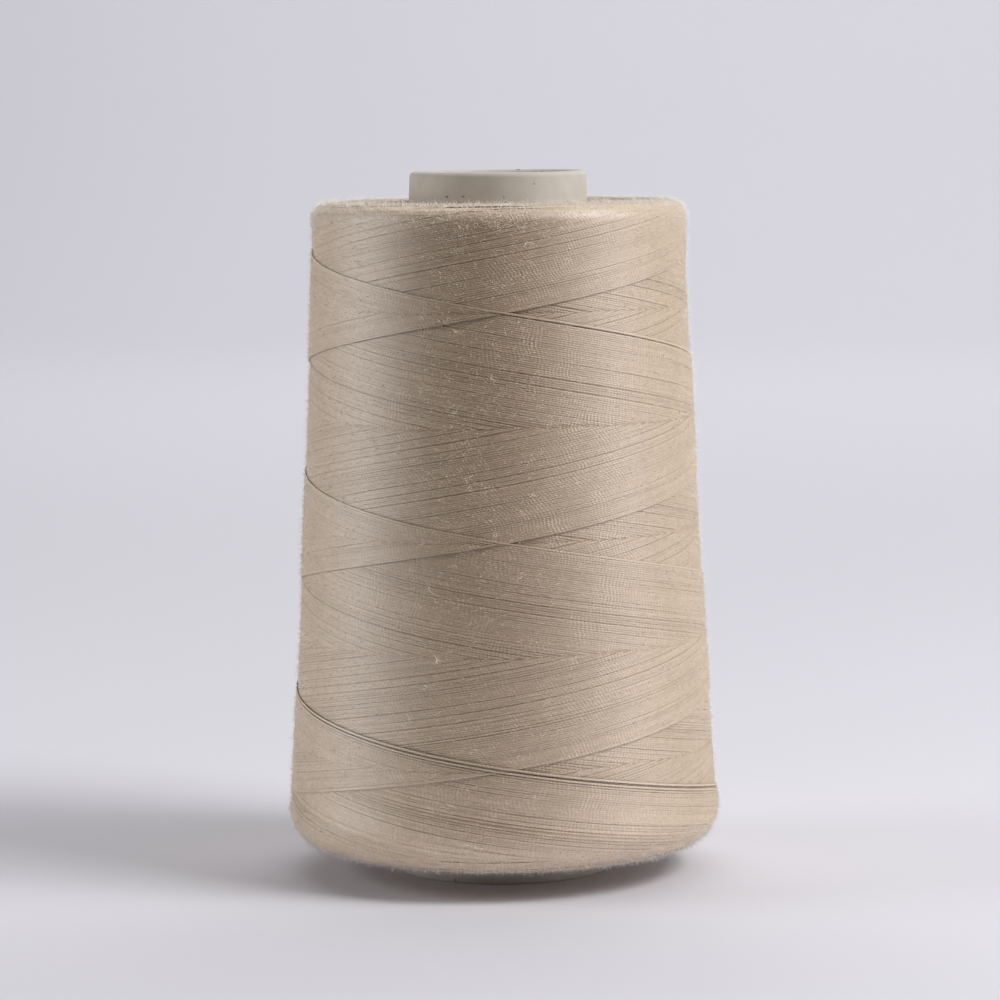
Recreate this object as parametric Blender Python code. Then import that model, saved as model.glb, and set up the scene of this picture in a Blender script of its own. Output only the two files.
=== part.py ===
"""A cone of sewing thread: a tapered paper core, and the thread cross-wound on it into one package.

Metres, +Z up. The origin is the centre of the core's base ring, on the surface that the cone stands on.
Angles are measured round the axis from the front (-Y) towards +X.
"""

import math

import bmesh
import bpy

# The core, a hollow tube that tapers upwards and is open at both ends.
CORE_HEIGHT = 0.1121
CORE_BASE_RADIUS = 0.0172
CORE_TOP_RADIUS = 0.0141
CORE_WALL = 0.0022
CORE_RIM_ROUNDING = 0.0009
CORE_BASE_ROUNDING = 0.0005
CORE_COLUMNS = 64

# The thread package. Its side tapers upwards too, a little hollow between two bulged ends.
PACKAGE_BOTTOM = 0.0044
PACKAGE_TOP = 0.10725
PACKAGE_BOTTOM_RADIUS = 0.0344
PACKAGE_TOP_RADIUS = 0.0296
SIDE_HOLLOW = 0.0003
END_BULGE = 0.0002
END_LENGTH = 0.003
FOOT_ROUNDING = 0.006
SHOULDER_ROUNDING = 0.0032
BORE_CLEARANCE = 0.0003

# The winding: a right-hand and a left-hand helix. Each hand's turns are newest along one line, lie one
# layer higher there than the turns beside them, and grow older and lower over one pitch away from it.
HELIX_PITCH = 0.0351
CROSSING_HEIGHT = 0.02075
LAYER_THICKNESS = 0.0003
PACKAGE_COLUMNS = 48  # even, so that the net of the two helices closes

CORE_COLOUR = (0.47, 0.43, 0.38, 1.0)
THREAD_COLOUR = (0.58, 0.47, 0.37, 1.0)

FOOT_HEIGHT = PACKAGE_BOTTOM + FOOT_ROUNDING
SHOULDER_HEIGHT = PACKAGE_TOP - SHOULDER_ROUNDING
ROW_HEIGHT = HELIX_PITCH / PACKAGE_COLUMNS


def arc(centre_radius, centre_height, rounding, start, end, steps):
    """Points of a rounded corner of an outline, from one direction to another in degrees, 0 outwards, 90 up."""
    directions = [math.radians(start + (end - start) * step / steps) for step in range(steps + 1)]
    return [
        (centre_radius + rounding * math.cos(direction), centre_height + rounding * math.sin(direction))
        for direction in directions
    ]


def core_radius(height):
    """Outer radius of the core: a straight taper."""
    return CORE_BASE_RADIUS + (CORE_TOP_RADIUS - CORE_BASE_RADIUS) * height / CORE_HEIGHT


def side_radius(height):
    """Mean radius of the package: a straight taper, less a shallow parabola, with a swelling at each end."""
    along = (height - FOOT_HEIGHT) / (SHOULDER_HEIGHT - FOOT_HEIGHT)
    taper = PACKAGE_BOTTOM_RADIUS + (PACKAGE_TOP_RADIUS - PACKAGE_BOTTOM_RADIUS) * along
    hollow = 4.0 * SIDE_HOLLOW * along * (1.0 - along)
    from_foot = (height - FOOT_HEIGHT) / END_LENGTH
    from_shoulder = (SHOULDER_HEIGHT - height) / END_LENGTH
    return taper - hollow + END_BULGE * (math.exp(-(from_foot**2)) + math.exp(-(from_shoulder**2)))


def winding_lift(column, row):
    """Lift of a point of the net from the turns under it, about its mean. The right-hand turns grow older
    upwards from their newest line and the left-hand ones downwards, so that their steps cross in diamonds."""
    age_right = (row - column) % PACKAGE_COLUMNS / PACKAGE_COLUMNS
    age_left = (-row - column) % PACKAGE_COLUMNS / PACKAGE_COLUMNS
    return LAYER_THICKNESS * (1.0 - age_right - age_left)


def core_outline():
    """The wall's section, from the foot of the bore round the base, up the outside and over the rim."""
    base_outer = core_radius(0.0)
    rim_outer = core_radius(CORE_HEIGHT)
    rim_height = CORE_HEIGHT - CORE_RIM_ROUNDING
    return [
        (base_outer - CORE_WALL, 0.0),
        *arc(base_outer - CORE_BASE_ROUNDING, CORE_BASE_ROUNDING, CORE_BASE_ROUNDING, -90, 0, 2),
        *arc(rim_outer - CORE_RIM_ROUNDING, rim_height, CORE_RIM_ROUNDING, 0, 90, 4),
        *arc(rim_outer - CORE_WALL + CORE_RIM_ROUNDING, rim_height, CORE_RIM_ROUNDING, 90, 180, 4),
    ]


def package_column(column):
    """One column of the package's skin, as (place along the outline, radius, height): down the bore, out
    along the underside and round the foot, up the net, round the shoulder and in along the top."""
    bore_top = core_radius(PACKAGE_TOP) + BORE_CLEARANCE
    bore_bottom = core_radius(PACKAGE_BOTTOM) + BORE_CLEARANCE
    foot_centre = side_radius(FOOT_HEIGHT) - FOOT_ROUNDING
    shoulder_centre = side_radius(SHOULDER_HEIGHT) - SHOULDER_ROUNDING
    below = [
        (bore_top, PACKAGE_TOP),
        (bore_bottom, PACKAGE_BOTTOM),
        ((bore_bottom + foot_centre) / 2.0, PACKAGE_BOTTOM),
        *arc(foot_centre, FOOT_HEIGHT, FOOT_ROUNDING, -90, 0, 5),
    ]
    above = [
        *arc(shoulder_centre, SHOULDER_HEIGHT, SHOULDER_ROUNDING, 0, 90, 4),
        ((bore_top + shoulder_centre) / 2.0, PACKAGE_TOP),
    ]
    lowest = math.floor((FOOT_HEIGHT - CROSSING_HEIGHT) / ROW_HEIGHT) + 2
    highest = math.ceil((SHOULDER_HEIGHT - CROSSING_HEIGHT) / ROW_HEIGHT) - 2
    points = [(place, *point) for place, point in enumerate(below)]
    for row in range(lowest + (lowest - column) % 2, highest + 1, 2):
        height = CROSSING_HEIGHT + row * ROW_HEIGHT
        fade = min(height - FOOT_HEIGHT, SHOULDER_HEIGHT - height, END_LENGTH) / END_LENGTH
        place = len(below) - 1 + (height - FOOT_HEIGHT) / (SHOULDER_HEIGHT - FOOT_HEIGHT)
        points.append((place, side_radius(height) + fade * winding_lift(column, row), height))
    points += [(len(below) + place, *point) for place, point in enumerate(above)]
    return points


def join_columns(shape, left, right):
    """Faces between two neighbouring columns of (place, point): a quad where both have a point at the next
    place, else a triangle to the one that has it."""
    here, there = 0, 0
    while here < len(left) - 1 or there < len(right) - 1:
        next_left = left[here + 1][0] if here + 1 < len(left) else math.inf
        next_right = right[there + 1][0] if there + 1 < len(right) else math.inf
        corners = [left[here][1], right[there][1]]
        if next_right <= next_left:
            there += 1
            corners.append(right[there][1])
        if next_left <= next_right:
            here += 1
            corners.append(left[here][1])
        shape.faces.new(corners)


def core_mesh():
    """The core's section, drawn at the front and spun once round the Z axis."""
    shape = bmesh.new()
    points = [shape.verts.new((0.0, -radius, height)) for radius, height in core_outline()]
    edges = [shape.edges.new((point, points[index - 1])) for index, point in enumerate(points)]
    bmesh.ops.spin(
        shape,
        geom=points + edges,
        cent=(0.0, 0.0, 0.0),
        axis=(0.0, 0.0, 1.0),
        angle=2.0 * math.pi,
        steps=CORE_COLUMNS,
        use_merge=True,
    )
    bmesh.ops.recalc_face_normals(shape, faces=shape.faces)
    mesh = bpy.data.meshes.new("core")
    shape.to_mesh(mesh)
    shape.free()
    return mesh


def package_mesh():
    """The package's skin, column by column. The net's slanting edges run along the two hands of the winding."""
    shape = bmesh.new()
    columns = []
    for column in range(PACKAGE_COLUMNS):
        angle = 2.0 * math.pi * column / PACKAGE_COLUMNS
        places = [
            (place, shape.verts.new((radius * math.sin(angle), -radius * math.cos(angle), height)))
            for place, radius, height in package_column(column)
        ]
        columns.append(places + [(places[-1][0] + 1, places[0][1])])
    for column, places in enumerate(columns):
        join_columns(shape, columns[column - 1], places)
    mesh = bpy.data.meshes.new("thread_package")
    shape.to_mesh(mesh)
    shape.free()
    return mesh


def material(name, colour, roughness, sheen):
    """A plain finish of one colour."""
    finish = bpy.data.materials.new(name)
    finish.use_nodes = True
    shader = finish.node_tree.nodes["Principled BSDF"]
    shader.inputs["Base Color"].default_value = colour
    shader.inputs["Roughness"].default_value = roughness
    shader.inputs["Metallic"].default_value = 0.0
    shader.inputs["Sheen Weight"].default_value = sheen
    return finish


def add_object(name, mesh, finish):
    """Puts a mesh into the scene as a named object with its finish, shaded smooth but for its hard corners."""
    mesh.materials.append(finish)
    mesh.shade_smooth()
    mesh.set_sharp_from_angle(angle=math.radians(35.0))
    bpy.context.scene.collection.objects.link(bpy.data.objects.new(name, mesh))


def main():
    for item in list(bpy.data.objects):
        bpy.data.objects.remove(item, do_unlink=True)
    add_object("core", core_mesh(), material("core_paper", CORE_COLOUR, 0.85, 0.0))
    add_object("thread_package", package_mesh(), material("spun_thread", THREAD_COLOUR, 0.9, 0.3))


main()
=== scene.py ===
"""A cone of sewing thread: thread cross-wound on a tapered paper core, laid out as a Blender add-on.

The package is wound turn by turn. Rising and falling passes of thread climb and descend its side, each pass
shifted a little from the last, and their newest turns cross in tall diamonds. Everything is in metres.
Angles are counted in turns round the axis, from the front (-Y) towards +X.
"""

import math

import bpy
import numpy as np
from bpy.props import FloatProperty, FloatVectorProperty, IntProperty, PointerProperty
from bpy.types import Operator, Panel, PropertyGroup
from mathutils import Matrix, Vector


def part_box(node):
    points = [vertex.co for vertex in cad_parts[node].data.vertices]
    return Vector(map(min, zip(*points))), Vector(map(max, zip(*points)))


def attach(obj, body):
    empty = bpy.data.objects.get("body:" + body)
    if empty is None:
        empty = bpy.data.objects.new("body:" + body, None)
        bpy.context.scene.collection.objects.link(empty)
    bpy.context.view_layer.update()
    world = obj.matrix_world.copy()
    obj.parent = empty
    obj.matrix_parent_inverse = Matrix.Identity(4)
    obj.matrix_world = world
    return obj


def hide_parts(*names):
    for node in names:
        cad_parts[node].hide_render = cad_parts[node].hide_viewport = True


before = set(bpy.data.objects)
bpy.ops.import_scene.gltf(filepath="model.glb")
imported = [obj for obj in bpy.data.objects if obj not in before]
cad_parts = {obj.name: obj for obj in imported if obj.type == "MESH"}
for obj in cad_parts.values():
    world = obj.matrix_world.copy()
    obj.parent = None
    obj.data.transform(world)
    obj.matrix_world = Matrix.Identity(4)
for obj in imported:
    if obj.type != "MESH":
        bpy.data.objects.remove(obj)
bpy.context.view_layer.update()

bl_info = {
    "name": "Cone of Thread",
    "version": (1, 0, 0),
    "blender": (4, 5, 0),
    "location": "3D View > Sidebar > Thread",
    "description": "Builds a cone of sewing thread, turn by turn, on its paper core",
    "category": "Add Mesh",
}

CORE_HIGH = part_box("core")[1]
PACKAGE_LOW, PACKAGE_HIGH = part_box("thread_package")
BODY = "root"

# A thread's corners, round from its crest, in radians.
SECTION = np.radians([-110.0, -45.0, 45.0, 110.0])

# The lights: name, target, azimuth (0 in front, 90 on the right) and elevation in degrees, distance from
# the target, size and power.
MIDDLE = (0.0, 0.0, 0.055)
LIGHTS = (
    ("key_right", MIDDLE, 64.0, 43.0, 0.75, (0.3, 0.3), 2.75),
    ("side_right", MIDDLE, 75.0, 48.0, 0.75, (0.3, 0.3), 0.85),
    ("panel_right", MIDDLE, 75.0, 14.0, 0.75, (0.3, 0.4), 1.48),
    ("panel_left", MIDDLE, -87.0, 12.0, 0.6, (0.3, 0.5), 1.88),
    ("top", MIDDLE, 90.0, 88.0, 0.9, (0.8, 0.8), 1.1),
    ("overhead", MIDDLE, 180.0, 55.0, 1.1, (1.2, 0.8), 1.7),
    ("backdrop_wash", (0.35, 2.2, 0.4), 0.0, 40.0, 1.7, (2.0, 0.8), 25.5),
    ("floor_glow", (0.0, -0.0435, 0.0), 0.0, -90.0, -0.0004, (0.07, 0.012), 0.00125),
)


# ---------------------------------------------------------------------------------------------- settings


def metres(name, description, default):
    """A setting in metres."""
    return FloatProperty(name=name, description=description, default=default, unit="LENGTH")


def tint(name, description, default):
    """A setting that is a colour."""
    return FloatVectorProperty(
        name=name, description=description, default=default, size=3, subtype="COLOR"
    )


class CoreSettings(PropertyGroup):
    """Sizes and colours of the paper core."""

    base_radius: metres("Base Radius", "Outer radius at the base ring", CORE_HIGH.x)
    rim_radius: metres("Rim Radius", "Outer radius at the rim", 0.0141)
    wall: metres("Wall", "Thickness of the paper wall", 0.0022)
    rim_rounding: metres("Rim Rounding", "Radius of the smoothed rim", 0.0009)
    unevenness: metres("Unevenness", "How far the wall strays from a true taper", 0.00006)
    colour: tint("Paper", "Colour of the paper", (0.615, 0.575, 0.52))
    speck_colour: tint("Specks", "Colour of the specks in the paper", (0.075, 0.06, 0.05))


class WindingSettings(PropertyGroup):
    """Sizes and colours of the thread and of the way it is wound."""

    foot_radius: metres("Foot Radius", "Mean radius of the side at its foot", 0.0344)
    shoulder_radius: metres("Shoulder Radius", "Mean radius of the side at its shoulder", 0.0296)
    side_hollow: metres("Side Hollow", "How far the side curves inwards halfway up", 0.0003)
    end_bulge: metres("End Bulge", "Swelling of the side at its two ends", 0.0002)
    end_length: metres("End Length", "Height over which the side runs into its ends", 0.003)
    foot_rounding: metres("Foot Rounding", "Radius of the rounded foot", 0.0056)
    shoulder_rounding: metres("Shoulder Rounding", "Radius of the rounded shoulder", 0.0026)
    pitch: metres("Pitch", "Climb of a thread in one turn", 0.0351)
    crossing_height: metres("Crossing Height", "Height of the lowest crossing on the front", 0.02075)
    passes: IntProperty(
        name="Passes", description="Rising passes, and as many falling ones, in the top layer",
        default=104,
    )
    reversal: metres("Reversal", "Least distance over which a pass turns back", 0.0012)
    foot_creep: metres("Foot Creep", "How much earlier some passes turn back at the foot", 0.0030)
    shoulder_creep: metres(
        "Shoulder Creep", "How much earlier some passes turn back at the shoulder", 0.0004
    )
    parting: FloatProperty(
        name="Parting", description="Widest gap between groups of passes, in thread widths", default=0.55
    )
    gap_depth: metres("Gap Depth", "How deep the gaps between threads go", 0.00015)
    thread_width: metres("Thread Width", "Width of a thread where it lies", 0.0004)
    thread_height: metres("Thread Height", "Height of a thread where it lies", 0.00028)
    layer: metres("Layer", "Step where a thread crosses over others", 0.00023)
    wobble: metres("Wobble", "How far a group of passes strays from its helix", 0.00004)
    ply_length: metres("Ply Length", "Length of thread from one ply ridge to the next", 0.0006)
    colour: tint("Thread", "Colour of the thread", (0.648, 0.505, 0.355))
    softness: FloatProperty(
        name="Softness", description="How far fuzz evens out the shading of the single threads",
        default=0.65,
    )


class FuzzSettings(PropertyGroup):
    """Numbers and sizes of the loose fibres that stand off the thread."""

    side_fibres: IntProperty(
        name="Side Fibres", description="Short fibres spread over the side", default=78000
    )
    end_fibres: IntProperty(
        name="End Fibres", description="Short fibres on the shoulder and round the foot", default=32000
    )
    curls: IntProperty(name="Curls", description="Long curled fibres, singly", default=2200)
    tufts: IntProperty(name="Tufts", description="Small tangles of curled fibres", default=320)
    tuft_size: IntProperty(name="Tuft Size", description="Curled fibres in a tangle", default=9)
    thickness: metres("Thickness", "Diameter of a fibre at its root", 0.000065)
    side_length: metres("Side Length", "Mean length of a short fibre on the side", 0.00045)
    end_length: metres("End Length", "Mean length of a short fibre at the ends", 0.0004)
    curl_length: metres("Curl Length", "Mean length of a curled fibre", 0.00045)
    colour: tint("Fibre", "Colour of the palest loose fibres", (0.95, 0.87, 0.78))
    deep_colour: tint("Deep Fibre", "Colour of the deepest loose fibres", (0.60, 0.475, 0.345))


class StudioSettings(PropertyGroup):
    """The camera's place and view, and the floor."""

    distance: metres("Distance", "From the camera to the cone's axis", 0.6215)
    height: metres("Height", "Camera height over the floor", 0.12245)
    aside: metres("Aside", "Camera place to the left of the axis", -0.00043)
    tilt: FloatProperty(
        name="Tilt", description="How far the camera looks down", default=math.radians(5.8),
        subtype="ANGLE",
    )
    roll: FloatProperty(
        name="Roll", description="Turn of the camera about its view", default=math.radians(0.57),
        subtype="ANGLE",
    )
    lens: FloatProperty(
        name="Lens", description="Focal length in millimetres on a 36 mm sensor", default=140.0
    )
    floor_colour: tint("Floor", "Colour of the floor and the backdrop", (0.766, 0.756, 0.81))


# ------------------------------------------------------------------------------------- shared mesh tools


def add_piece(name, points, corners, sizes, finish, node, uv=None, tone=None, facing=None):
    """Makes a mesh piece from flat arrays: points, the corner indices face after face, and each face's
    number of corners. uv, tone and the way the surface around faces are given for each point."""
    mesh = bpy.data.meshes.new(name)
    mesh.vertices.add(len(points))
    mesh.vertices.foreach_set("co", np.ascontiguousarray(points, np.float32).ravel())
    mesh.loops.add(len(corners))
    mesh.loops.foreach_set("vertex_index", np.ascontiguousarray(corners, np.int32))
    mesh.polygons.add(len(sizes))
    mesh.polygons.foreach_set("loop_start", (np.cumsum(sizes) - sizes).astype(np.int32))
    mesh.polygons.foreach_set("use_smooth", np.ones(len(sizes), bool))
    mesh.update(calc_edges=True)
    if uv is not None:
        layer = mesh.uv_layers.new(name="UVMap")
        layer.uv.foreach_set("vector", np.ascontiguousarray(uv[corners], np.float32).ravel())
    if tone is not None:
        shade = mesh.attributes.new("tone", "FLOAT", "POINT")
        shade.data.foreach_set("value", np.ascontiguousarray(tone, np.float32))
    if facing is not None:
        around = mesh.attributes.new("facing", "FLOAT_VECTOR", "POINT")
        around.data.foreach_set("vector", np.ascontiguousarray(facing, np.float32).ravel())
    mesh.materials.append(finish)
    mesh.validate()
    piece = bpy.data.objects.new(name, mesh)
    bpy.context.scene.collection.objects.link(piece)
    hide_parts(node)
    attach(piece, BODY)
    return piece


def closed_grid(columns, rows):
    """Corner indices of a grid that closes on itself both ways, with points stored column by column."""
    column, row = np.meshgrid(np.arange(columns), np.arange(rows), indexing="ij")
    right, above = (column + 1) % columns, (row + 1) % rows
    faces = np.stack(
        [column * rows + row, right * rows + row, right * rows + above, column * rows + above], axis=-1
    )
    return faces.reshape(-1), np.full(columns * rows, 4)


def tubes(centres, normals, width, height, kept):
    """Closed tubes along rows of centres: each point is its centre, plus half the width times the sine of
    its section angle sideways, plus half the height times the cosine outwards. Only the kept steps are
    made, and each run of them is capped. Returns the points, the corners, the face sizes, and each point's
    number in the full grid of rows, steps and section corners."""
    rows, steps = kept.shape
    sides = len(SECTION)
    along = np.gradient(centres, axis=1)
    along /= np.linalg.norm(along, axis=2, keepdims=True)
    sideways = np.cross(along, normals)
    across = np.sin(SECTION)[:, None] * sideways[:, :, None] * width / 2.0
    outwards = np.cos(SECTION)[:, None] * normals[:, :, None] * height / 2.0
    points = (centres[:, :, None] + across + outwards).reshape(-1, 3)

    first = np.arange(rows * steps).reshape(rows, steps) * sides
    joined = kept[:, :-1] & kept[:, 1:]
    here, ahead = first[:, :-1][joined][:, None], first[:, 1:][joined][:, None]
    side = np.arange(sides)
    turn = (side + 1) % sides
    walls = np.stack([here + side, here + turn, ahead + turn, ahead + side], axis=-1).reshape(-1)
    before = np.pad(joined, ((0, 0), (1, 0)))
    after = np.pad(joined, ((0, 0), (0, 1)))
    starts = first[after & ~before][:, None] + side[::-1]
    ends = first[before & ~after][:, None] + side
    caps = np.concatenate([starts, ends]).reshape(-1)

    corners = np.concatenate([walls, caps])
    sizes = np.concatenate([np.full(len(walls) // 4, 4), np.full(len(caps) // sides, sides)])
    used, corners = np.unique(corners, return_inverse=True)
    return points[used], corners.reshape(-1), sizes, used


def smooth_noise(seed, *coordinates):
    """A gentle random field of the coordinates, about -1 to 1: a sum of sines of random slopes and
    phases."""
    draw = np.random.default_rng(seed)
    total = 0.0
    terms, usual_peak = 6, 1.6
    for _ in range(terms):
        slopes = draw.normal(0.0, 1.0, len(coordinates))
        wave = sum(slope * value for slope, value in zip(slopes, coordinates))
        total = total + np.sin(wave + draw.uniform(0.0, 2.0 * math.pi))
    return total / math.sqrt(terms / 2.0) / usual_peak


# --------------------------------------------------------------------------------------- package surface


class Package:
    """The package's skin, as a place along its outline and an angle. The place is the height on the side,
    and runs on as arc length round the foot and the shoulder and in along the two end faces."""

    def __init__(self, winding, core):
        self.w = winding
        bottom, top = PACKAGE_LOW.z, PACKAGE_HIGH.z
        self.foot = bottom + winding.foot_rounding
        self.shoulder = top - winding.shoulder_rounding
        taper = (core.rim_radius - core.base_radius) / CORE_HIGH.z
        inner_low = core.base_radius + taper * bottom
        inner_high = core.base_radius + taper * top
        foot_centre = self.side_radius(self.foot) - winding.foot_rounding
        shoulder_centre = self.side_radius(self.shoulder) - winding.shoulder_rounding

        arc_points, side_points = 31, 200
        arc = np.radians(np.linspace(0.0, 90.0, arc_points))
        side = np.linspace(self.foot, self.shoulder, side_points)
        slope = np.gradient(self.side_radius(side), side)
        lean = np.hypot(slope, 1.0)
        self.foot_end = self.foot - winding.foot_rounding * math.pi / 2.0
        self.shoulder_end = self.shoulder + winding.shoulder_rounding * math.pi / 2.0
        self.inner_low = self.foot_end - (foot_centre - inner_low)
        self.inner_high = self.shoulder_end + (shoulder_centre - inner_high)
        down, up = arc[::-1], arc
        self.places = np.concatenate([
            [self.inner_low], self.foot - winding.foot_rounding * down, side[1:-1],
            self.shoulder + winding.shoulder_rounding * up, [self.inner_high],
        ])
        self.radii = np.concatenate([
            [inner_low], foot_centre + winding.foot_rounding * np.cos(down),
            self.side_radius(side)[1:-1],
            shoulder_centre + winding.shoulder_rounding * np.cos(up), [inner_high],
        ])
        self.heights = np.concatenate([
            [bottom], self.foot - winding.foot_rounding * np.sin(down), side[1:-1],
            self.shoulder + winding.shoulder_rounding * np.sin(up), [top],
        ])
        self.out = np.concatenate([[0.0], np.cos(down), (1.0 / lean)[1:-1], np.cos(up), [0.0]])
        self.rise = np.concatenate([[-1.0], -np.sin(down), (-slope / lean)[1:-1], np.sin(up), [1.0]])

    def side_radius(self, height):
        """Mean radius of the side: a straight taper, less a shallow parabola, with a swelling at each
        end."""
        w = self.w
        along = (height - self.foot) / (self.shoulder - self.foot)
        taper = w.foot_radius + (w.shoulder_radius - w.foot_radius) * along
        swelling = np.exp(-(((height - self.foot) / w.end_length) ** 2)) + np.exp(
            -(((self.shoulder - height) / w.end_length) ** 2)
        )
        return taper - 4.0 * w.side_hollow * along * (1.0 - along) + w.end_bulge * swelling

    def at(self, turn, place, lift):
        """Points and outward normals at an angle in turns, a place along the outline and a lift off it."""
        angle = 2.0 * math.pi * turn
        radius = np.interp(place, self.places, self.radii)
        height = np.interp(place, self.places, self.heights)
        out = np.interp(place, self.places, self.out)
        rise = np.interp(place, self.places, self.rise)
        sine, cosine = np.sin(angle), np.cos(angle)
        normal = np.stack([out * sine, -out * cosine, rise + 0.0 * angle], axis=-1)
        reach = radius + lift * out
        return np.stack([reach * sine, -reach * cosine, height + lift * rise], axis=-1), normal

    def ages(self, turn, place):
        """Ages of the rising and the falling turns at a point, from 0 at the newest line to 1 one pitch
        away: the climb from the crossing height in pitches, less the turn, and the descent, less the
        turn."""
        climbed = (place - self.w.crossing_height) / self.w.pitch
        return (climbed - turn) % 1.0, (-climbed - turn) % 1.0

    def fade(self, place):
        """1 on the side, falling to 0 at its two ends."""
        inside = np.minimum(place - self.foot, self.shoulder - place)
        return np.clip(inside / self.w.end_length + 0.5, 0.0, 1.0)

    def lift(self, rising_age, falling_age, place):
        """Height of the top turns over the mean surface: a layer for each hand's newest turns, none for its
        oldest, about the mean."""
        return self.w.layer * self.fade(place) * (1.0 - rising_age - falling_age)

    def rising_lead(self, turn, place, rising_age, falling_age):
        """Above 0 where the rising turns lie on top: the falling turns' age less the rising turns' age,
        with a ragged share that vanishes at the newest lines."""
        raggedness, falling_favour, wakening = 0.012, 0.006, 8.0
        ragged = smooth_noise(11, 60.0 * turn, place / 0.0009) * raggedness
        calm = np.minimum(np.minimum(rising_age, falling_age), 1.0 - np.maximum(rising_age, falling_age))
        return falling_age - rising_age + ragged * np.clip(wakening * calm, 0.0, 1.0) - falling_favour


# ----------------------------------------------------------------------------------------------- finishes


def new_finish(name):
    """An empty node material and its Principled shader, node list and links."""
    finish = bpy.data.materials.new(name)
    finish.use_nodes = True
    tree = finish.node_tree
    return finish, tree.nodes["Principled BSDF"], tree.nodes, tree.links


def math_node(nodes, links, operation, first, second=None, clamp=False):
    """A Math node's output. Each input is another node's output or a number."""
    node = nodes.new("ShaderNodeMath")
    node.operation = operation
    node.use_clamp = clamp
    for socket, value in zip(node.inputs, (first, second)):
        if isinstance(value, bpy.types.NodeSocket):
            links.new(value, socket)
        elif value is not None:
            socket.default_value = value
    return node.outputs[0]


def noise_node(nodes, links, place, scale, detail=2.0):
    """A Noise texture on a place in the object, with its scale in waves a metre."""
    node = nodes.new("ShaderNodeTexNoise")
    node.inputs["Scale"].default_value = scale
    node.inputs["Detail"].default_value = detail
    links.new(place, node.inputs["Vector"])
    return node


def attribute_node(nodes, name):
    """An Attribute node that reads one of the mesh's own attributes."""
    node = nodes.new("ShaderNodeAttribute")
    node.attribute_name = name
    return node


def bump_node(nodes, links, height, strength, distance):
    """A Bump node on a height, which another node's output gives."""
    node = nodes.new("ShaderNodeBump")
    node.inputs["Strength"].default_value = strength
    node.inputs["Distance"].default_value = distance
    links.new(height, node.inputs["Height"])
    return node


def tinted(colour, shares):
    """A colour with each of its channels multiplied by a share, and 1 at most."""
    return tuple(min(1.0, share * channel) for share, channel in zip(shares, colour))


def mixed_colour(nodes, links, amount, first, second):
    """A colour between two others. Each is another node's output or a colour."""
    node = nodes.new("ShaderNodeMix")
    node.data_type = "RGBA"
    links.new(amount, node.inputs["Factor"])
    for name, value in (("A", first), ("B", second)):
        socket = next(s for s in node.inputs if s.name == name and s.type == "RGBA")
        if isinstance(value, bpy.types.NodeSocket):
            links.new(value, socket)
        else:
            socket.default_value = (*value, 1.0)
    return next(s for s in node.outputs if s.type == "RGBA")


def softened_normal(nodes, links, softness):
    """The normal, turned by a share towards the way that the surface around faces."""
    around = attribute_node(nodes, "facing")
    mix = nodes.new("ShaderNodeMix")
    mix.data_type = "VECTOR"
    mix.inputs["Factor"].default_value = softness
    first, second = [socket for socket in mix.inputs if socket.type == "VECTOR" and socket.name in "AB"]
    links.new(nodes.new("ShaderNodeNewGeometry").outputs["Normal"], first)
    links.new(around.outputs["Vector"], second)
    return next(socket for socket in mix.outputs if socket.type == "VECTOR")


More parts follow.
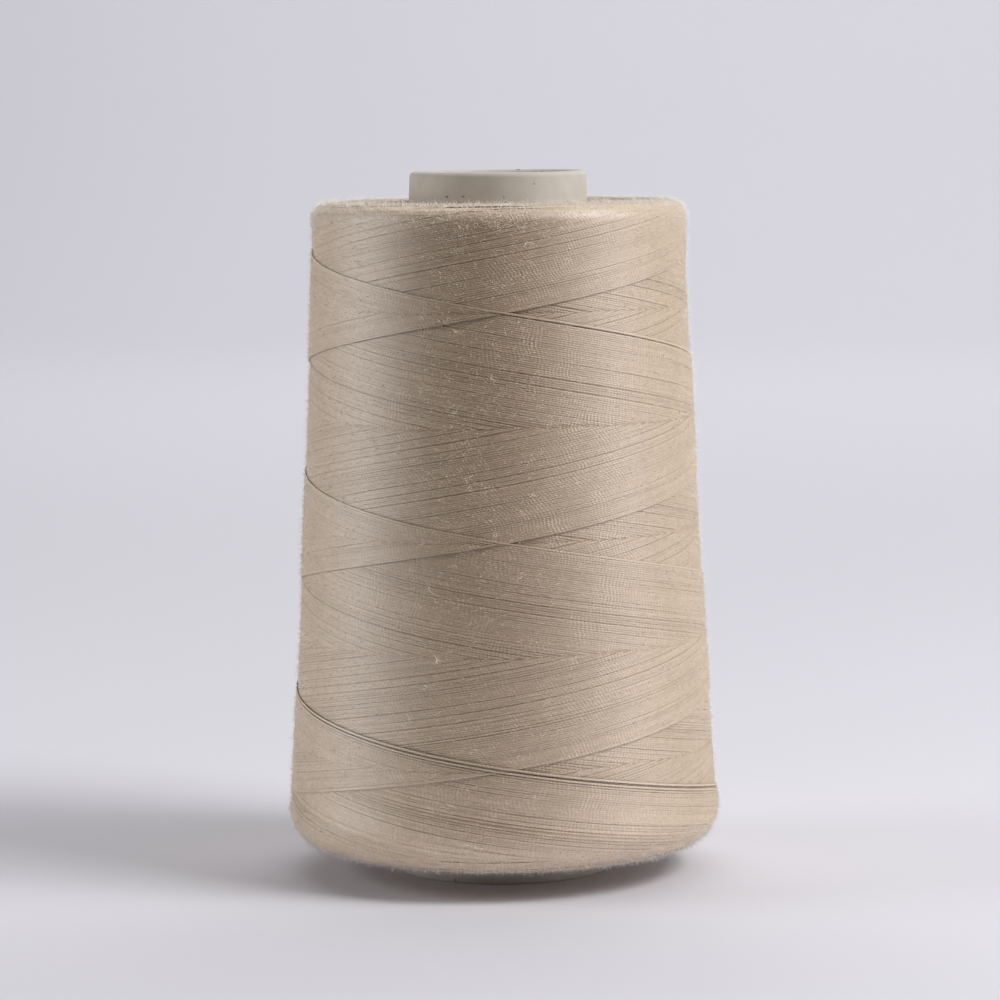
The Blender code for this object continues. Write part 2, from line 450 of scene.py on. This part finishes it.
def thread_finish(winding):
    """Spun thread: faint ply ridges that run slantwise round each thread, a tone of its own for every pass,
    lint that lightens and darkens it, and shading that its fuzz evens out. It has a dull lustre. Its flanks
    carry painted shade of the grooves between threads: darker, warmer colour and less lustre there."""
    finish, shader, nodes, links = new_finish("sewing_thread")
    uv = nodes.new("ShaderNodeUVMap")
    uv.uv_map = "UVMap"
    parts = nodes.new("ShaderNodeSeparateXYZ")
    links.new(uv.outputs["UV"], parts.inputs[0])
    along, round_it = parts.outputs["X"], parts.outputs["Y"]
    place = nodes.new("ShaderNodeTexCoord").outputs["Object"]
    grain = noise_node(nodes, links, place, 2600.0).outputs["Fac"]
    lint = noise_node(nodes, links, place, 900.0).outputs["Fac"]
    blotch = noise_node(nodes, links, place, 210.0).outputs["Fac"]
    tone = attribute_node(nodes, "tone").outputs["Fac"]

    # Painted groove shade: towards each thread's flanks the colour turns darker and warmer, for the shade
    # between threads.
    groove_shade_start, groove_shade_steepness = 0.11, 4.5
    groove_shade = math_node(nodes, links, "ABSOLUTE", round_it)
    groove_shade = math_node(nodes, links, "SUBTRACT", groove_shade, groove_shade_start)
    groove_shade = math_node(nodes, links, "MULTIPLY", groove_shade, groove_shade_steepness, clamp=True)

    ply_slant, patch_start, patch_steepness = 0.9, 0.33, 3.0
    slant = math_node(nodes, links, "MULTIPLY", round_it, ply_slant)
    phase = math_node(nodes, links, "SUBTRACT", along, slant)
    wave = math_node(nodes, links, "SINE", math_node(nodes, links, "MULTIPLY", phase, 2.0 * math.pi))
    patch = math_node(nodes, links, "SUBTRACT", blotch, patch_start)
    patch = math_node(nodes, links, "MULTIPLY", patch, patch_steepness, clamp=True)
    patch = math_node(nodes, links, "MULTIPLY", patch, lint)
    ply = math_node(nodes, links, "MULTIPLY", wave, patch)

    # The ply ridge waves darken and lighten the colour too: painted shade of the ridges' slopes, besides
    # their bump.
    painted_ply_shade, evening = 0.3, 0.15
    shade = math_node(nodes, links, "MULTIPLY", ply, painted_ply_shade)
    for source, share in ((tone, 0.3), (grain, 0.4), (lint, 0.3), (blotch, 0.3)):
        part = math_node(nodes, links, "MULTIPLY", source, share)
        shade = math_node(nodes, links, "ADD", shade, part)
    shade = math_node(nodes, links, "SUBTRACT", shade, evening, clamp=True)
    dark = tinted(winding.colour, (0.66, 0.6, 0.54))
    light = tinted(winding.colour, (1.32, 1.34, 1.38))
    deep = tinted(winding.colour, (0.66, 0.56, 0.47))
    thread = mixed_colour(nodes, links, shade, dark, light)
    links.new(mixed_colour(nodes, links, groove_shade, thread, deep), shader.inputs["Base Color"])

    # The painted groove shade also cuts the lustre on the flanks.
    crest_gloss = 0.5
    crest = math_node(nodes, links, "SUBTRACT", 1.0, groove_shade)
    lustre = math_node(nodes, links, "MULTIPLY", crest, crest_gloss)
    links.new(lustre, shader.inputs["Specular IOR Level"])
    bump = bump_node(nodes, links, math_node(nodes, links, "ADD", ply, grain), 1.0, 0.00002)
    links.new(softened_normal(nodes, links, winding.softness), bump.inputs["Normal"])
    links.new(bump.outputs["Normal"], shader.inputs["Normal"])
    shader.inputs["Roughness"].default_value = 0.5
    shader.inputs["IOR"].default_value = 2.35
    return finish


def fibre_finish(fuzz):
    """Loose fibres: deep to pale by a noise and each piece's tone, and so thin that light spreads right
    through them."""
    finish, shader, nodes, links = new_finish("loose_fibre")
    place = nodes.new("ShaderNodeTexCoord").outputs["Object"]
    noise = noise_node(nodes, links, place, 700.0)
    tone = attribute_node(nodes, "tone")
    noise_share = 0.5
    share = math_node(nodes, links, "MULTIPLY", noise.outputs["Fac"], noise_share)
    share = math_node(nodes, links, "ADD", share, tone.outputs["Fac"], clamp=True)
    deep, pale = tuple(fuzz.deep_colour), tuple(fuzz.colour)
    links.new(mixed_colour(nodes, links, share, deep, pale), shader.inputs["Base Color"])
    shader.inputs["Subsurface Weight"].default_value = 1.0
    shader.inputs["Subsurface Radius"].default_value = (1.0, 1.0, 1.0)
    shader.inputs["Subsurface Scale"].default_value = 0.0002
    shader.inputs["Roughness"].default_value = 0.6
    return finish


def paper_finish(core):
    """Recycled paper: mottled off-white, with small dark specks of torn outline and a slight tooth."""
    finish, shader, nodes, links = new_finish("speckled_paper")
    place = nodes.new("ShaderNodeTexCoord").outputs["Object"]
    mottle = noise_node(nodes, links, place, 420.0, 5.0)
    dark = tinted(core.colour, (0.86, 0.86, 0.86))
    light = tinted(core.colour, (1.08, 1.08, 1.08))
    paper = mixed_colour(nodes, links, mottle.outputs["Fac"], dark, light)

    torn = noise_node(nodes, links, place, 2400.0)
    jog = nodes.new("ShaderNodeVectorMath")
    jog.operation = "MULTIPLY_ADD"
    links.new(torn.outputs["Color"], jog.inputs[0])
    jog.inputs[1].default_value = (0.0006, 0.0006, 0.0006)
    links.new(place, jog.inputs[2])
    cells = nodes.new("ShaderNodeTexVoronoi")
    cells.inputs["Scale"].default_value = 800.0
    links.new(jog.outputs[0], cells.inputs["Vector"])
    chance = nodes.new("ShaderNodeSeparateColor")
    links.new(cells.outputs["Color"], chance.inputs[0])

    clean_share, largest_size, darkest = 0.75, 0.28, 0.8
    picked = math_node(nodes, links, "GREATER_THAN", chance.outputs[0], clean_share)
    size = math_node(nodes, links, "MULTIPLY", chance.outputs[1], largest_size)
    near = math_node(nodes, links, "LESS_THAN", cells.outputs["Distance"], size)
    strength = math_node(nodes, links, "MULTIPLY", chance.outputs[2], darkest)
    speck = math_node(nodes, links, "MULTIPLY", picked, near)
    speck = math_node(nodes, links, "MULTIPLY", speck, strength)
    speckled = mixed_colour(nodes, links, speck, paper, tuple(core.speck_colour))
    links.new(speckled, shader.inputs["Base Color"])

    tooth = noise_node(nodes, links, place, 2600.0, 4.0)
    rough = math_node(nodes, links, "ADD", tooth.outputs["Fac"], mottle.outputs["Fac"])
    bump = bump_node(nodes, links, rough, 0.35, 0.00005)
    links.new(bump.outputs["Normal"], shader.inputs["Normal"])
    shader.inputs["Roughness"].default_value = 0.62
    shader.inputs["Specular IOR Level"].default_value = 0.35
    return finish


def floor_finish(studio):
    """The floor's pale finish, which turns dark in front of the picture's edge: painted shade, for the dark
    room in front, that keeps the floor's light off the cone's front.
    """
    finish, shader, nodes, links = new_finish("studio_floor")
    place = nodes.new("ShaderNodeSeparateXYZ")
    links.new(nodes.new("ShaderNodeTexCoord").outputs["Object"], place.inputs[0])
    # Painted shade: the floor darkens to brown between these two distances in front of the axis.
    dark, shade_from, pale_from = (0.14, 0.09, 0.05), -0.16, -0.10
    ahead = nodes.new("ShaderNodeMapRange")
    ahead.inputs["From Min"].default_value = shade_from
    ahead.inputs["From Max"].default_value = pale_from
    links.new(place.outputs["Y"], ahead.inputs["Value"])
    pale = tuple(studio.floor_colour)
    links.new(mixed_colour(nodes, links, ahead.outputs["Result"], dark, pale), shader.inputs["Base Color"])
    shader.inputs["Roughness"].default_value = 0.9
    shader.inputs["Specular IOR Level"].default_value = 0.1
    return finish


def shared_finish(name, make, settings):
    """A finish that several pieces share, made once."""
    return bpy.data.materials.get(name) or make(settings)


# ----------------------------------------------------------------------------------------------- operators


class THREADCONE_OT_core(Operator):
    """Add the paper core: a tapered tube with a smoothed rim, turned from its wall's section"""

    bl_idname = "threadcone.core"
    bl_label = "Paper Core"

    def execute(self, context):
        core = context.scene.cone_core
        columns, side_points, arc_points = 160, 40, 9
        height = CORE_HIGH.z
        up = np.linspace(0.0, 1.0, side_points)
        quarter = np.radians(np.linspace(0.0, 90.0, arc_points))
        corner = core.rim_rounding * np.stack([np.cos(quarter), np.sin(quarter)])
        chamfer = 0.0003
        rim_height = height - core.rim_rounding
        base_inner = core.base_radius - core.wall
        outer = core.base_radius + (core.rim_radius - core.base_radius) * up
        radii = np.concatenate([
            [base_inner + chamfer, core.base_radius - chamfer],
            outer[:-1],
            core.rim_radius - core.rim_rounding + corner[0],
            core.rim_radius - core.wall + core.rim_rounding - corner[0][::-1],
            (outer - core.wall)[::-1][1:],
        ])
        heights = np.concatenate([
            [0.0, 0.0],
            np.maximum(up[:-1] * rim_height, chamfer),
            rim_height + corner[1],
            rim_height + corner[1][::-1],
            np.maximum(up[::-1][1:] * rim_height, chamfer),
        ])
        turn = np.arange(columns)[:, None] / columns
        angle = 2.0 * math.pi * turn
        sway = smooth_noise(5, 2.0 * np.sin(angle), 2.0 * np.cos(angle), heights / 0.02)
        dents = smooth_noise(6, 9.0 * np.sin(angle), 9.0 * np.cos(angle), heights / 0.004)
        clear = np.clip((height - heights) / 0.004, 0.3, 1.0) * np.clip(heights / 0.002, 0.0, 1.0)
        radii = radii + core.unevenness * clear * (0.7 * sway + 0.3 * dents)
        deepest_dip = 0.00012
        dip = deepest_dip * (0.5 + 0.5 * smooth_noise(7, 3.0 * np.sin(angle), 3.0 * np.cos(angle)))
        heights = heights - dip * np.clip((heights - rim_height) / core.rim_rounding, 0.0, 1.0)
        points = np.stack([radii * np.sin(angle), -radii * np.cos(angle), heights], axis=-1)
        corners, sizes = closed_grid(columns, points.shape[1])
        finish = shared_finish("speckled_paper", paper_finish, core)
        add_piece("core_tube", points.reshape(-1, 3), corners, sizes, finish, "core")
        return {"FINISHED"}


class THREADCONE_OT_bed(Operator):
    """Add the bed of deeper turns: the package's whole outline, one thread lower than its top turns"""

    bl_idname = "threadcone.bed"
    bl_label = "Deeper Turns"

    def execute(self, context):
        winding, core = context.scene.cone_winding, context.scene.cone_core
        package = Package(winding, core)
        columns, row_height, arc_points, face_points = 104, 0.0008, 9, 6
        side = np.arange(package.foot, package.shoulder, row_height)
        quarter = np.linspace(0.0, 1.0, arc_points)
        foot = package.foot_end + (package.foot - package.foot_end) * quarter[:-1]
        shoulder = package.shoulder + (package.shoulder_end - package.shoulder) * quarter
        inwards = np.linspace(0.0, 1.0, face_points)
        low_face = package.inner_low + (package.foot_end - package.inner_low) * inwards[:-1]
        high_face = package.shoulder_end + (package.inner_high - package.shoulder_end) * inwards[1:]
        place = np.concatenate([low_face, foot, side, shoulder, high_face])
        turn = np.arange(columns)[:, None] / columns
        rising_age, falling_age = package.ages(turn, place)
        lift = package.lift(rising_age, falling_age, place) - winding.gap_depth
        points, facing = package.at(turn, place + 0.0 * turn, lift)
        corners, sizes = closed_grid(columns, len(place))
        plies = turn * 2.0 * math.pi * winding.foot_radius / winding.ply_length
        # The bed's UV places it partway into the thread finish's painted groove shade on the side, with
        # none at its two ends.
        groove_shade, middle_tone = 0.19, 0.5
        uv = np.stack([plies + 0.0 * place, groove_shade * package.fade(place) + 0.0 * turn], axis=-1)
        finish = shared_finish("sewing_thread", thread_finish, winding)
        add_piece(
            "thread_bed", points.reshape(-1, 3), corners, sizes, finish, "thread_package",
            uv=uv.reshape(-1, 2), tone=np.full(uv[..., 0].size, middle_tone),
            facing=facing.reshape(-1, 3),
        )
        return {"FINISHED"}


def add_threads(name, winding, centres, normals, kept, plies, tone):
    """One piece of many threads. Their UV map counts ply ridges along them and turns round them. Those that
    face downwards face less steeply than they are, as their fuzz catches light from the side."""
    finish = shared_finish("sewing_thread", thread_finish, winding)
    width, height = winding.thread_width, winding.thread_height
    points, corners, sizes, used = tubes(centres, normals, width, height, kept)
    section, step = used % len(SECTION), used // len(SECTION)
    uv = np.stack([plies.reshape(-1)[step], SECTION[section] / (2.0 * math.pi)], axis=-1)
    shade = np.repeat(tone, kept.shape[1])[step]
    facing = normals.reshape(-1, 3)[step]
    downward_share = 0.3
    facing[:, 2] = np.maximum(facing[:, 2], downward_share * facing[:, 2])
    add_piece(
        name, points, corners, sizes, finish, "thread_package",
        uv=uv, tone=shade, facing=facing,
    )


def wander(draw, rows, turn, rates):
    """Slow side-to-side wander of each thread, about -1 to 1: a sum of sines of the turn, one for each
    rate, each with a pace and a phase of its own."""
    total, usual_peak = 0.0, 1.4
    for rate in rates:
        pace = rate * draw.uniform(0.75, 1.3, (rows, 1))
        total = total + np.sin(2.0 * math.pi * (pace * turn + draw.uniform(0.0, 1.0, (rows, 1))))
    return total / math.sqrt(len(rates) / 2.0) / usual_peak


class THREADCONE_OT_turns(Operator):
    """Add the top turns: every rising and falling pass of thread that shows on the side, as closed tubes"""

    bl_idname = "threadcone.turns"
    bl_label = "Top Turns"

    def execute(self, context):
        winding, core = context.scene.cone_winding, context.scene.cone_core
        package = Package(winding, core)
        draw = np.random.default_rng(3)
        passes = winding.passes
        number = np.arange(passes)
        often, seldom, newest_closed = 0.85, 0.35, 7
        chance = np.where(number % 4 == 3, often, np.where(number % 2 == 1, seldom, 0.0))
        parted = draw.uniform(size=passes) < chance * (number > newest_closed)
        evenly = draw.normal(1.0, 0.03, passes)
        spacing = evenly + parted * winding.parting * (0.1 + 0.9 * draw.uniform(0.0, 1.0, passes) ** 2)
        age = (np.cumsum(spacing) - spacing[0]) / spacing.sum()
        waves, starts = np.array([[4.3], [3.6]]), [[0.62], [0.30]]
        tides = 0.5 - 0.5 * np.cos(2.0 * math.pi * (waves * age + starts))
        creep = np.array([[winding.foot_creep], [winding.shoulder_creep]])
        ends = winding.reversal + creep * tides**2 * draw.uniform(0.6, 1.0, (2, passes))
        half = passes // 2
        # The two newest falling passes are painted paler all along: a painted highlight, for the light they
        # catch where they stand proud.
        newest, newest_highlight = slice(0, 2), 0.6
        for rising in (True, False):
            centres, normals, kept, plies = self.turns(package, winding, rising, age, parted, ends, draw)
            tone = draw.normal(0.5, 0.16, passes)
            tone[newest] += 0.0 if rising else newest_highlight
            for part, rows in enumerate((slice(0, half), slice(half, None))):
                name = f"{'rising' if rising else 'falling'}_turns_{part + 1}"
                threads = [values[rows] for values in (centres, normals, kept, plies, tone)]
                add_threads(name, winding, *threads)
        return {"FINISHED"}

    def turns(self, package, winding, rising, age, parted, ends, draw):
        """The passes of one hand. A pass starts half a turn on, less its age, and runs three turns: its
        place climbs one pitch a turn and is rounded at each reversal as a hyperbola is. Passes that lie
        between the same two gaps stray together."""
        turns_each, steps_a_turn = 3.0, 84
        passes = len(age)
        run = np.linspace(0.0, turns_each, round(turns_each * steps_a_turn) + 1)
        onward = 0.5 + run + (0.0 if rising else turns_each)
        turn = 0.5 - age[:, None] + run + (0.0 if rising else turns_each)
        climb = winding.pitch * (run if rising else turns_each - run)
        left = winding.pitch * turns_each - climb
        low_end, high_end = ends[:, :, None]
        place = winding.crossing_height - winding.pitch / 2.0 + np.hypot(climb, low_end)
        place = place + left - np.hypot(left, high_end)
        group = np.cumsum(parted)
        together = wander(draw, group[-1] + 1, onward, (1.1, 2.3, 3.7))
        alone = 0.3 * wander(draw, passes, turn, (3.3, 9.0))
        place = place + winding.wobble * (together[group] + alone)
        proud = self.stray_newest(place, rising)

        rising_age, falling_age = package.ages(turn, place)
        own = age[:, None] + 0.0 * turn
        if rising:
            rising_age = own
        else:
            falling_age = own
        lead = package.rising_lead(turn, place, rising_age, falling_age) * (1.0 if rising else -1.0)
        sinking_age, turning_length, quite_sunk, unevenness = 0.024, 1.3, 0.999, 0.000012
        sunk = np.clip(0.5 - lead / sinking_age, 0.0, 1.0)
        turning = np.exp(-((np.minimum(climb / low_end, left / high_end) / turning_length) ** 2))
        sunk = sunk + (0.5 - sunk) * turning
        lift = package.lift(rising_age, falling_age, place) - winding.layer * sunk + proud
        lift = lift + unevenness * draw.normal(0.0, 1.0, (passes, 1))
        centres, normals = package.at(turn, place, lift - winding.thread_height / 2.0)
        kept = sunk < quite_sunk
        for _ in range(2):
            kept = kept | np.pad(kept, ((0, 0), (1, 0)))[:, :-1] | np.pad(kept, ((0, 0), (0, 1)))[:, 1:]
        drift = np.cumsum(draw.normal(0.33 if rising else 0.07, 0.15, passes))[:, None]
        waver = 1.1 * smooth_noise(31, 40.0 * turn, place / 0.0022)
        mean_radius = 0.0325
        plies = turn * 2.0 * math.pi * mean_radius / winding.ply_length + drift + waver
        return centres, normals, kept, plies

    def stray_newest(self, place, rising):
        """Moves the newest passes of one hand a little off the others, as they lie loosest, and returns how
        far each point stands proud. The newest rising pass lies lower all along. Of the two newest falling
        ones, the first is lifted off under the shoulder, and both are above the foot."""
        proud = np.zeros(place.shape)
        if rising:
            place[0] -= 0.00007
            proud[0] = 0.00004
            return proud
        two = place[:2]
        upper_height, upper_reach, upper_end = 0.0877, 0.0040, 0.0912
        lower_height, lower_reach = 0.0202, 0.0095
        upper = np.exp(-(((two - upper_height) / upper_reach) ** 2)) * (two < upper_end)
        lower = np.exp(-(((two - lower_height) / lower_reach) ** 4))
        place[:2] += np.array([[0.00020], [0.0]]) * upper + np.array([[0.00030], [0.00014]]) * lower
        proud[:2] = 0.00010 * np.maximum(upper * [[1.0], [0.0]], lower)
        return proud


class THREADCONE_OT_ends(Operator):
    """Add the end faces: arcs of thread that peak where a pass turned back, ring after ring"""

    bl_idname = "threadcone.ends"
    bl_label = "End Faces"

    def execute(self, context):
        winding, core = context.scene.cone_winding, context.scene.cone_core
        package = Package(winding, core)
        draw = np.random.default_rng(8)
        clearance, arcs, steps, overlap = 0.0003, 9, 13, 0.9
        peak_lift, end_drop, end_shift, scatter, unevenness = 0.00004, 0.00042, 0.0008, 0.00008, 0.00003
        spans = (
            ("top_face_turns", package.shoulder + 0.0016, package.inner_high - clearance, 1.0),
            ("underside_turns", package.inner_low + clearance, package.foot - 0.0037, -1.0),
        )
        for name, start, end, inwards in spans:
            rings = round((end - start) / (overlap * winding.thread_width))
            ring = np.repeat(np.linspace(start, end, rings), arcs)
            ring = ring + draw.normal(0.0, scatter, len(ring))
            middle = np.tile(np.arange(arcs) / arcs, rings) + draw.uniform(0.0, 1.0, len(ring))
            reach = draw.uniform(0.09, 0.15, (len(ring), 1))
            run = np.linspace(-1.0, 1.0, steps)
            turn = middle[:, None] + reach * run
            place = ring[:, None] - inwards * end_shift * run**2
            lift = peak_lift - end_drop * run**2 + unevenness * draw.normal(0.0, 1.0, (len(ring), 1))
            centres, normals = package.at(turn, place, lift - winding.thread_height / 2.0)
            kept = np.ones(turn.shape, bool)
            radius = np.interp(place, package.places, package.radii)
            plies = turn * 2.0 * math.pi * radius / winding.ply_length
            tone = draw.normal(0.55, 0.16, len(ring))
            add_threads(name, winding, centres, normals, kept, plies, tone)
        return {"FINISHED"}


def unit(vectors):
    """The vectors, each scaled to a length of one."""
    return vectors / np.linalg.norm(vectors, axis=-1, keepdims=True)


class THREADCONE_OT_fuzz(Operator):
    """Add the fuzz: short straight fibres all over, and longer curled ones singly and in tufts"""

    bl_idname = "threadcone.fuzz"
    bl_label = "Fuzz"

    def execute(self, context):
        winding, core = context.scene.cone_winding, context.scene.cone_core
        fuzz = context.scene.cone_fuzz
        package = Package(winding, core)
        draw = np.random.default_rng(21)
        straight, sprawling = 0.5, 1.3

        count = fuzz.side_fibres // 2
        middle = (package.foot + package.shoulder) / 2.0
        low, high, longest = package.foot - 0.002, package.shoulder + 0.001, 0.001
        for name, start, end in (("lower_fuzz", low, middle), ("upper_fuzz", middle, high)):
            turn = draw.uniform(0.0, 1.0, count)
            place = draw.uniform(start, end, count)
            length = np.minimum(draw.exponential(fuzz.side_length, count) + 0.00014, longest)
            self.add_fibres(name, package, draw, turn, place, length, straight, False, 0.05)

        count, longest = fuzz.end_fibres, 0.0013
        turn = draw.uniform(0.0, 1.0, count)
        shoulder = draw.normal(package.shoulder + 0.0018, 0.0019, count)
        top = draw.uniform(package.shoulder_end, package.inner_high, count)
        foot = draw.normal(package.foot - 0.0060, 0.0030, count)
        share = draw.uniform(size=count)
        shoulder_share, top_share = 0.36, 0.04
        place = np.where(share < shoulder_share + top_share, top, foot)
        place = np.where(share < shoulder_share, shoulder, place)
        length = np.minimum(draw.exponential(fuzz.end_length, count) + 0.00015, longest)
        self.add_fibres("end_fuzz", package, draw, turn, place, length, straight, False, 0.3)

        nests = np.repeat(np.arange(fuzz.tufts), fuzz.tuft_size)
        count, past_side, longest = fuzz.curls + len(nests), 0.004, 0.002
        turn = draw.uniform(0.0, 1.0, count)
        place = draw.uniform(package.foot - past_side, package.shoulder + past_side, count)
        turn[fuzz.curls:] = turn[nests] + draw.normal(0.0, 0.0014, len(nests))
        place[fuzz.curls:] = place[nests] + draw.normal(0.0, 0.00024, len(nests))
        length = np.minimum(draw.exponential(fuzz.curl_length, count) + 0.0003, longest)
        self.add_fibres("curled_fuzz", package, draw, turn, place, length, sprawling, True, 0.35)
        return {"FINISHED"}

    def add_fibres(self, name, package, draw, turn, place, length, lean, curled, tone):
        """One piece of fibres of one tone. Each is a three-sided spike from its root to its tip, which
        stands off the thread in a random direction. A curled one bends halfway along. Real fibres are too
        fine to cast shadows that show, so these cast none."""
        fuzz = bpy.context.scene.cone_fuzz
        count = len(turn)
        root_depth, bend, middle_width = 0.00008, 0.6, 0.8
        rising_age, falling_age = package.ages(turn, place)
        lift = package.lift(rising_age, falling_age, place) - root_depth
        root, normal = package.at(turn, place, lift)
        aside = draw.normal(0.0, lean, (count, 3))
        aim = unit(normal + aside - (aside * normal).sum(axis=1, keepdims=True) * normal)
        first = unit(np.cross(aim, draw.normal(0.0, 1.0, (count, 3))))
        second = np.cross(aim, first)
        ring = np.radians([0.0, 120.0, 240.0])
        circle = np.cos(ring)[:, None] * first[:, None] + np.sin(ring)[:, None] * second[:, None]
        circle = circle * fuzz.thickness / 2.0
        length = length[:, None]
        if curled:
            middle = root + 0.5 * length * aim
            tip = middle + 0.5 * length * unit(aim + draw.normal(0.0, bend, (count, 3)))
            rings = [root[:, None] + circle, middle[:, None] + middle_width * circle, tip[:, None]]
            faces = ([0, 1, 4, 3], [1, 2, 5, 4], [2, 0, 3, 5], [3, 4, 6], [4, 5, 6], [5, 3, 6], [2, 1, 0])
        else:
            tip = root + length * aim
            rings = [root[:, None] + circle, tip[:, None]]
            faces = ([0, 1, 3], [1, 2, 3], [2, 0, 3], [2, 1, 0])
        points = np.concatenate(rings, axis=1)
        base = np.arange(count)[:, None] * points.shape[1]
        corners = (base + np.concatenate(faces)).reshape(-1)
        sizes = np.tile([len(face) for face in faces], count)
        finish = shared_finish("loose_fibre", fibre_finish, fuzz)
        points = points.reshape(-1, 3)
        tones = np.full(len(points), tone)
        piece = add_piece(
            name, points, corners, sizes, finish, "thread_package", tone=tones
        )
        piece.visible_shadow = False


class THREADCONE_OT_stage(Operator):
    """Add the floor that sweeps up into a backdrop, the soft lights and the camera"""

    bl_idname = "threadcone.stage"
    bl_label = "Stage"

    def execute(self, context):
        studio = context.scene.cone_studio
        self.add_floor(studio)
        for light in LIGHTS:
            self.add_light(*light)
        world = bpy.data.worlds.new("studio")
        world.use_nodes = True
        background = world.node_tree.nodes["Background"]
        background.inputs["Color"].default_value = (0.8, 0.8, 0.84, 1.0)
        background.inputs["Strength"].default_value = 0.004
        context.scene.world = world
        context.scene.view_settings.view_transform = "Standard"

        camera = bpy.data.objects.new("camera", bpy.data.cameras.new("camera"))
        context.scene.collection.objects.link(camera)
        sensor_width = 36.0
        camera.data.lens = studio.lens
        camera.data.sensor_width = sensor_width
        camera.location = (-studio.aside, -studio.distance, studio.height)
        camera.rotation_euler = (math.pi / 2.0 - studio.tilt, studio.roll, 0.0)
        context.scene.camera = camera
        return {"FINISHED"}

    def add_floor(self, studio):
        """A sheet that is flat under the cone and sweeps up behind it in a quarter circle."""
        sweep, wall, half = 0.9, 1.6, 3.0
        near, turn_back, arc_points = -2.0, 1.4, 25
        angle = np.radians(np.linspace(0.0, 90.0, arc_points))
        y = np.concatenate([[near], turn_back + sweep * np.sin(angle), [turn_back + sweep]])
        z = np.concatenate([[0.0], sweep * (1.0 - np.cos(angle)), [sweep + wall]])
        x = np.array([[-half], [half]])
        points = np.stack([x + 0.0 * y, y + 0.0 * x, z + 0.0 * x], axis=-1)
        mesh = bpy.data.meshes.new("studio_floor")
        rows = len(y)
        faces = [(row, rows + row, rows + row + 1, row + 1) for row in range(rows - 1)]
        mesh.from_pydata(points.reshape(-1, 3).tolist(), [], faces)
        mesh.shade_smooth()
        mesh.materials.append(floor_finish(studio))
        floor = bpy.data.objects.new("studio_floor", mesh)
        bpy.context.scene.collection.objects.link(floor)

    def add_light(self, name, target, azimuth, elevation, distance, size, power):
        """A rectangular soft light, aimed at a target from an azimuth (0 in front, 90 on the right)."""
        light = bpy.data.lights.new(name, "AREA")
        light.shape = "RECTANGLE"
        light.size, light.size_y = size
        light.energy = power
        lamp = bpy.data.objects.new(name, light)
        bpy.context.scene.collection.objects.link(lamp)
        turn, up = math.radians(azimuth), math.radians(elevation)
        away = (math.cos(up) * math.sin(turn), -math.cos(up) * math.cos(turn), math.sin(up))
        lamp.location = [place + distance * step for place, step in zip(target, away)]
        lamp.rotation_euler = (math.pi / 2.0 - up, 0.0, turn)
        lamp.visible_camera = False


class THREADCONE_PT_sidebar(Panel):
    """Lists the cone's operators and settings"""

    bl_label = "Cone of Thread"
    bl_space_type = "VIEW_3D"
    bl_region_type = "UI"
    bl_category = "Thread"

    def draw(self, context):
        for operator, settings in (
            (THREADCONE_OT_core, "cone_core"),
            (THREADCONE_OT_bed, None),
            (THREADCONE_OT_turns, "cone_winding"),
            (THREADCONE_OT_ends, None),
            (THREADCONE_OT_fuzz, "cone_fuzz"),
            (THREADCONE_OT_stage, "cone_studio"),
        ):
            box = self.layout.box()
            box.operator(operator.bl_idname)
            if settings:
                group = getattr(context.scene, settings)
                for name in group.__annotations__:
                    box.prop(group, name)


SETTINGS = {
    "cone_core": CoreSettings,
    "cone_winding": WindingSettings,
    "cone_fuzz": FuzzSettings,
    "cone_studio": StudioSettings,
}
OPERATORS = (
    THREADCONE_OT_core,
    THREADCONE_OT_bed,
    THREADCONE_OT_turns,
    THREADCONE_OT_ends,
    THREADCONE_OT_fuzz,
    THREADCONE_OT_stage,
)


def register():
    for cls in (*SETTINGS.values(), *OPERATORS, THREADCONE_PT_sidebar):
        bpy.utils.register_class(cls)
    for name, cls in SETTINGS.items():
        setattr(bpy.types.Scene, name, PointerProperty(type=cls))


def unregister():
    for name in SETTINGS:
        delattr(bpy.types.Scene, name)
    for cls in (THREADCONE_PT_sidebar, *reversed(OPERATORS), *reversed(SETTINGS.values())):
        bpy.utils.unregister_class(cls)


def main():
    register()
    bpy.ops.threadcone.core()
    bpy.ops.threadcone.bed()
    bpy.ops.threadcone.turns()
    bpy.ops.threadcone.ends()
    bpy.ops.threadcone.fuzz()
    bpy.ops.threadcone.stage()


if __name__ == "__main__":
    main()
